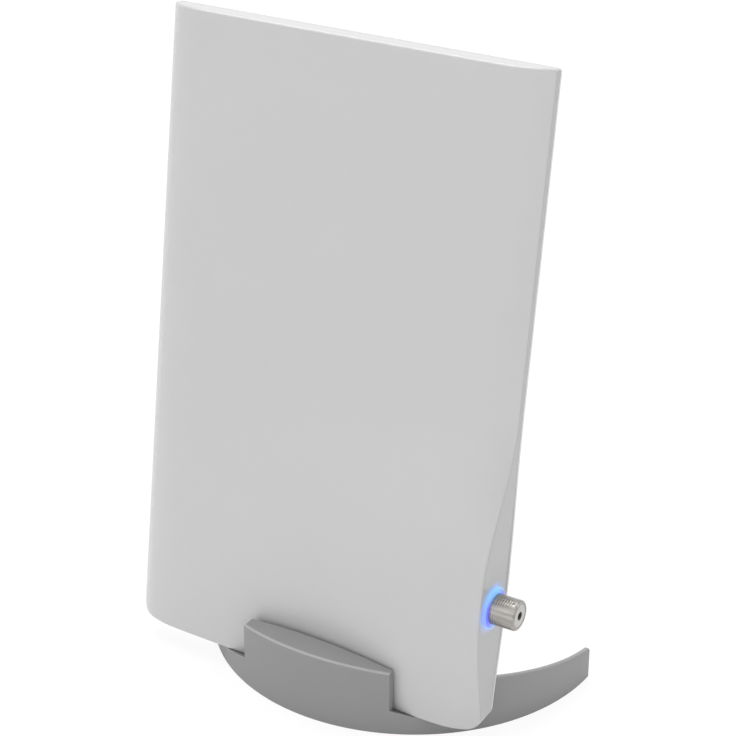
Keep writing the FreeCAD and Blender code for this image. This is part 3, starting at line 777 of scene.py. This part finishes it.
class AntennaInsideSettings(bpy.types.PropertyGroup):
    """Colours of the screws, the boards and the small parts on them."""

    steel: FloatVectorProperty(
        name="Steel", description="Colour of the zinc plated screws", subtype="COLOR",
        size=3, min=0.0, max=1.0, default=(0.50, 0.51, 0.52))
    copper: FloatVectorProperty(
        name="Copper", description="Colour of the etched copper", subtype="COLOR",
        size=3, min=0.0, max=1.0, default=(0.72, 0.36, 0.22))
    tin: FloatVectorProperty(
        name="Tin", description="Colour of the tinned shield", subtype="COLOR",
        size=3, min=0.0, max=1.0, default=(0.62, 0.63, 0.64))
    mask_dark: FloatVectorProperty(
        name="Mask dark", description="Darkest colour of the boards' solder mask", subtype="COLOR",
        size=3, min=0.0, max=1.0, default=(0.012, 0.085, 0.03))
    mask_light: FloatVectorProperty(
        name="Mask light", description="Lightest colour of the boards' solder mask",
        subtype="COLOR", size=3, min=0.0, max=1.0, default=(0.02, 0.14, 0.05))
    # The darker colour between the choke's turns is painted shade.
    enamel_painted_shade: FloatVectorProperty(
        name="Enamel dark", description="Colour between the choke's turns", subtype="COLOR",
        size=3, min=0.0, max=1.0, default=(0.11, 0.02, 0.006))
    enamel_light: FloatVectorProperty(
        name="Enamel light", description="Colour on the choke's turns", subtype="COLOR",
        size=3, min=0.0, max=1.0, default=(0.34, 0.085, 0.02))
    resin: FloatVectorProperty(
        name="Resin", description="Colour of the chips' resin", subtype="COLOR",
        size=3, min=0.0, max=1.0, default=(0.012, 0.012, 0.014))
    ceramic: FloatVectorProperty(
        name="Ceramic", description="Colour of the filter and the capacitors", subtype="COLOR",
        size=3, min=0.0, max=1.0, default=(0.42, 0.28, 0.16))
    lamp: FloatVectorProperty(
        name="Lamp", description="Colour of the lamp's resin", subtype="COLOR",
        size=3, min=0.0, max=1.0, default=(0.62, 0.72, 0.9))
    jacket: FloatVectorProperty(
        name="Jacket", description="Colour of the lead between the boards", subtype="COLOR",
        size=3, min=0.0, max=1.0, default=(0.02, 0.02, 0.022))


class AntennaStageSettings(bpy.types.PropertyGroup):
    """Camera and light of the studio."""

    target: FloatVectorProperty(
        name="Target", description="Point that the camera looks at", subtype="XYZ",
        unit="LENGTH", size=3, default=(0.017273, -0.016906, 0.11747))
    azimuth: FloatProperty(
        name="Azimuth", description="Camera's turn towards the socket's side",
        subtype="ANGLE", default=math.radians(30.77))
    elevation: FloatProperty(
        name="Elevation", description="Camera's angle above the horizon",
        subtype="ANGLE", default=math.radians(26.34))
    distance: FloatProperty(
        name="Distance", description="Camera's distance from its target",
        unit="LENGTH", default=0.60425)
    lens: FloatProperty(
        name="Lens", description="Focal length in millimetres", unit="CAMERA", default=102.58)
    sky_strength: FloatProperty(
        name="Sky strength", description="Even light from all around", min=0.0, default=0.43)
    top_strength: FloatProperty(
        name="Top strength", description="Strength of the lamp overhead", min=0.0, default=2.0)
    top_spread: FloatProperty(
        name="Top spread", description="Angle that the lamp overhead fills",
        subtype="ANGLE", default=math.radians(40))
    top_direction: FloatVectorProperty(
        name="Top direction", description="Direction towards the lamp overhead",
        subtype="DIRECTION", size=3, default=(-0.35, 0.30, 0.89))
    front_strength: FloatProperty(
        name="Front strength", description="Strength of the lamp in front", min=0.0, default=0.78)
    front_spread: FloatProperty(
        name="Front spread", description="Angle that the lamp in front fills",
        subtype="ANGLE", default=math.radians(110))
    front_direction: FloatVectorProperty(
        name="Front direction", description="Direction towards the lamp in front",
        subtype="DIRECTION", size=3, default=(0.05, -0.74, 0.67))
    side_strength: FloatProperty(
        name="Side strength", description="Strength of the lamp at the socket's side",
        min=0.0, default=0.25)
    side_spread: FloatProperty(
        name="Side spread", description="Angle that the side lamp fills",
        subtype="ANGLE", default=math.radians(60))
    side_direction: FloatVectorProperty(
        name="Side direction", description="Direction towards the side lamp",
        subtype="DIRECTION", size=3, default=(0.80, 0.50, 0.30))
    floor_size: FloatProperty(
        name="Floor size", description="Half the floor's width", unit="LENGTH", default=6.0)
    floor_bounce: FloatProperty(
        name="Floor bounce", description="How much light the floor sends back",
        subtype="FACTOR", min=0.0, max=1.0, default=0.92)
    floor_shade: FloatProperty(
        name="Floor shade", description="Share of the floor's white that takes the shadow",
        subtype="FACTOR", min=0.0, max=1.0, default=0.12)
    floor_white: FloatProperty(
        name="Floor white", description="Share of the floor's white that stays in the shadow",
        subtype="FACTOR", min=0.0, max=1.0, default=0.9)


class AntennaSettings(bpy.types.PropertyGroup):
    """All settings of the antenna."""

    panel: PointerProperty(type=AntennaPanelSettings)
    stand: PointerProperty(type=AntennaStandSettings)
    ring: PointerProperty(type=AntennaRingSettings)
    socket: PointerProperty(type=AntennaSocketSettings)
    inside: PointerProperty(type=AntennaInsideSettings)
    stage: PointerProperty(type=AntennaStageSettings)


class ANTENNA_OT_panel(bpy.types.Operator):
    """Finish the two white mouldings of the panel"""

    bl_idname = "antenna.panel"
    bl_label = "Panel"

    def execute(self, context):
        settings = context.scene.antenna
        panel = settings.panel
        front = white_moulding(
            settings, "white gloss plastic", panel.white,
            wall_painted_shade=panel.wall_painted_shade, seam_painted_shade=panel.seam_painted_shade,
            grain_depth=panel.gloss_grain_depth, roughness=panel.gloss_roughness)
        rear = white_moulding(
            settings, "white grained plastic", panel.rear_white,
            wall_painted_shade=1.0, seam_painted_shade=1.0,
            grain_depth=panel.rear_grain_depth, roughness=panel.rear_roughness)
        dress("front_shell", front)
        dress("rear_cover", rear)
        return {"FINISHED"}


class ANTENNA_OT_stand(bpy.types.Operator):
    """Finish the grey stand"""

    bl_idname = "antenna.stand"
    bl_label = "Stand"

    def execute(self, context):
        dress("stand", grey_moulding(context.scene.antenna.stand))
        return {"FINISHED"}


class ANTENNA_OT_light_ring(bpy.types.Operator):
    """Light the ring around the socket"""

    bl_idname = "antenna.light_ring"
    bl_label = "Light ring"

    def execute(self, context):
        dress("light_ring", lit_ring(context.scene.antenna.ring))
        return {"FINISHED"}


class ANTENNA_OT_socket(bpy.types.Operator):
    """Build the threaded socket and finish the pieces in it"""

    bl_idname = "antenna.socket"
    bl_label = "Socket"

    def execute(self, context):
        settings = context.scene.antenna
        socket = settings.socket
        plating = plated_metal("nickel plating", socket.nickel, socket.nickel_roughness,
                               socket.nickel_line_size)
        # The contact's near-black brass stands in for the shade in the socket's hole.
        brass = plated_metal("tarnished brass", socket.brass, socket.brass_roughness,
                             socket.brass_line_size)
        mesh = socket_mesh(socket, settings.panel.lean)
        mesh.materials.append(plating)
        piece = bpy.data.objects.new("threaded_socket", mesh)
        context.scene.collection.objects.link(piece)
        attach(piece, "root")
        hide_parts("socket_body")
        dress("socket_washer", plating)
        dress("socket_nut", plating)
        dress("socket_insulator", insulator_plastic(socket))
        dress("socket_contact", brass)
        return {"FINISHED"}


class ANTENNA_OT_screws(bpy.types.Operator):
    """Finish the screws of the rear cover and of the amplifier board"""

    bl_idname = "antenna.screws"
    bl_label = "Screws"

    def execute(self, context):
        inside = context.scene.antenna.inside
        steel = rolled_sheet("zinc plated steel", inside.steel, roughness=0.36)
        dress("cover_screws", steel)
        dress("board_screws", steel)
        return {"FINISHED"}


class ANTENNA_OT_boards(bpy.types.Operator):
    """Finish the two boards, the copper on them and the shield"""

    bl_idname = "antenna.boards"
    bl_label = "Boards"

    def execute(self, context):
        inside = context.scene.antenna.inside
        laminate = board_laminate(inside)
        copper = rolled_sheet("etched copper", inside.copper, roughness=0.38)
        tin = rolled_sheet("tinned sheet", inside.tin, roughness=0.34)
        finishes = {
            "antenna_board": laminate, "amplifier_board": laminate,
            "left_element": copper, "right_element": copper, "feed_track": copper,
            "shield_frame": tin, "shield_lid": tin,
        }
        for name, material in finishes.items():
            dress(name, material)
        return {"FINISHED"}


class ANTENNA_OT_components(bpy.types.Operator):
    """Finish the small parts on the boards and the lead between them"""

    bl_idname = "antenna.components"
    bl_label = "Components"

    def execute(self, context):
        inside = context.scene.antenna.inside
        resin = moulded_plastic("chip resin", inside.resin,
                                roughness=0.55, grain_depth=0.01 * MILLIMETRE)
        ceramic = moulded_plastic("chip ceramic", inside.ceramic,
                                  roughness=0.5, grain_depth=0.004 * MILLIMETRE)
        lamp = moulded_plastic("lamp resin", inside.lamp,
                               roughness=0.18, grain_depth=0.002 * MILLIMETRE)
        jacket = moulded_plastic("lead jacket", inside.jacket,
                                 roughness=0.6, grain_depth=0.008 * MILLIMETRE)
        finishes = {
            "balun": resin, "amplifier_chip": resin, "regulator_chip": resin,
            "filter_chip": ceramic, "capacitors": ceramic, "choke_coil": wound_wire(inside),
            "status_led": lamp, "jumper_cable": jacket,
        }
        for name, material in finishes.items():
            dress(name, material)
        return {"FINISHED"}


def seen_directly(finish):
    """1 where the camera, a reflection or clear plastic looks at a surface, and 0 for its light."""
    rays = finish.node("ShaderNodeLightPath").socket.node.outputs
    names = ("Is Camera Ray", "Is Glossy Ray", "Is Transmission Ray")
    camera, glossy, clear = (Wire(finish, rays[name]) for name in names)
    return camera + glossy + clear


class ANTENNA_OT_stage(bpy.types.Operator):
    """Set up the floor, the light and the camera"""

    bl_idname = "antenna.stage"
    bl_label = "Stage"

    def execute(self, context):
        stage = context.scene.antenna.stage
        scene = context.scene
        self.add_floor(scene, stage)
        self.add_sky(scene, stage)
        for name in ("top", "front", "side"):
            self.add_lamp(scene, stage, name)
        self.add_camera(scene, stage)
        scene.view_settings.view_transform = "Standard"
        return {"FINISHED"}

    def add_floor(self, scene, stage):
        """Pale floor that keeps the shadow."""
        reach = stage.floor_size
        mesh = bpy.data.meshes.new("floor")
        corners = [(-reach, -reach, 0), (reach, -reach, 0), (reach, reach, 0), (-reach, reach, 0)]
        mesh.from_pydata(corners, [], [(0, 1, 2, 3)])
        finish = new_finish("floor paper")
        bounce, shade = (
            finish.node("ShaderNodeBsdfDiffuse", inputs={"Color": opaque((level,) * 3)})
            for level in (stage.floor_bounce, stage.floor_shade))
        white = finish.node("ShaderNodeEmission", inputs={"Strength": stage.floor_white})
        shown = finish.node("ShaderNodeAddShader", inputs={0: shade, 1: white})
        mesh.materials.append(finish.close(finish.mixed(seen_directly(finish), bounce, shown)))
        floor = bpy.data.objects.new("floor", mesh)
        scene.collection.objects.link(floor)

    def add_sky(self, scene, stage):
        """Even light from all around, which the camera sees as white."""
        scene.world = bpy.data.worlds.new("studio")
        finish = Finish(scene.world)
        light, white = (
            finish.node("ShaderNodeBackground", inputs={"Color": WHITE, "Strength": strength})
            for strength in (stage.sky_strength, 1.0))
        finish.close(finish.mixed(seen_directly(finish), light, white))

    def add_lamp(self, scene, stage, name):
        """Soft lamp with the strength, the spread and the direction of its name."""
        lamp_data = bpy.data.lights.new(name + " lamp", "SUN")
        lamp_data.energy = getattr(stage, name + "_strength")
        lamp_data.angle = getattr(stage, name + "_spread")
        direction = Vector(getattr(stage, name + "_direction"))
        lamp = bpy.data.objects.new(name + " lamp", lamp_data)
        lamp.rotation_mode = "QUATERNION"
        lamp.rotation_quaternion = direction.to_track_quat("Z", "Y")
        scene.collection.objects.link(lamp)

    def add_camera(self, scene, stage):
        """Camera at the photograph's viewing angle."""
        level = math.cos(stage.elevation)
        backward = Vector((math.sin(stage.azimuth) * level, -math.cos(stage.azimuth) * level,
                           math.sin(stage.elevation)))
        camera_data = bpy.data.cameras.new("camera")
        camera_data.lens = stage.lens
        camera_data.sensor_width = SENSOR_WIDTH
        camera_data.clip_start = NEAREST_SEEN
        camera = bpy.data.objects.new("camera", camera_data)
        camera.location = Vector(stage.target) + backward * stage.distance
        camera.rotation_mode = "QUATERNION"
        camera.rotation_quaternion = backward.to_track_quat("Z", "Y")
        scene.collection.objects.link(camera)
        scene.camera = camera


class ANTENNA_PT_sidebar(bpy.types.Panel):
    """Lists the antenna's operators and settings"""

    bl_label = "Indoor television antenna"
    bl_idname = "ANTENNA_PT_sidebar"
    bl_space_type = "VIEW_3D"
    bl_region_type = "UI"
    bl_category = "Antenna"

    def draw(self, context):
        settings = context.scene.antenna
        for operator in OPERATORS:
            self.layout.operator(operator.bl_idname)
        for title in AntennaSettings.__annotations__:
            group = getattr(settings, title)
            box = self.layout.box()
            box.label(text=title.capitalize())
            for name in type(group).__annotations__:
                box.prop(group, name)


OPERATORS = (
    ANTENNA_OT_panel,
    ANTENNA_OT_stand,
    ANTENNA_OT_light_ring,
    ANTENNA_OT_socket,
    ANTENNA_OT_screws,
    ANTENNA_OT_boards,
    ANTENNA_OT_components,
    ANTENNA_OT_stage,
)
CLASSES = (
    AntennaPanelSettings,
    AntennaStandSettings,
    AntennaRingSettings,
    AntennaSocketSettings,
    AntennaInsideSettings,
    AntennaStageSettings,
    AntennaSettings,
) + OPERATORS + (ANTENNA_PT_sidebar,)


def register():
    """Registers the classes and the scene's settings."""
    for cls in CLASSES:
        bpy.utils.register_class(cls)
    bpy.types.Scene.antenna = PointerProperty(type=AntennaSettings)


def unregister():
    """Removes the scene's settings and the classes."""
    del bpy.types.Scene.antenna
    for cls in reversed(CLASSES):
        bpy.utils.unregister_class(cls)


def main():
    """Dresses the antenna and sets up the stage."""
    register()
    bpy.ops.antenna.panel()
    bpy.ops.antenna.stand()
    bpy.ops.antenna.light_ring()
    bpy.ops.antenna.socket()
    bpy.ops.antenna.screws()
    bpy.ops.antenna.boards()
    bpy.ops.antenna.components()
    bpy.ops.antenna.stage()


if __name__ == "__main__":
    main()
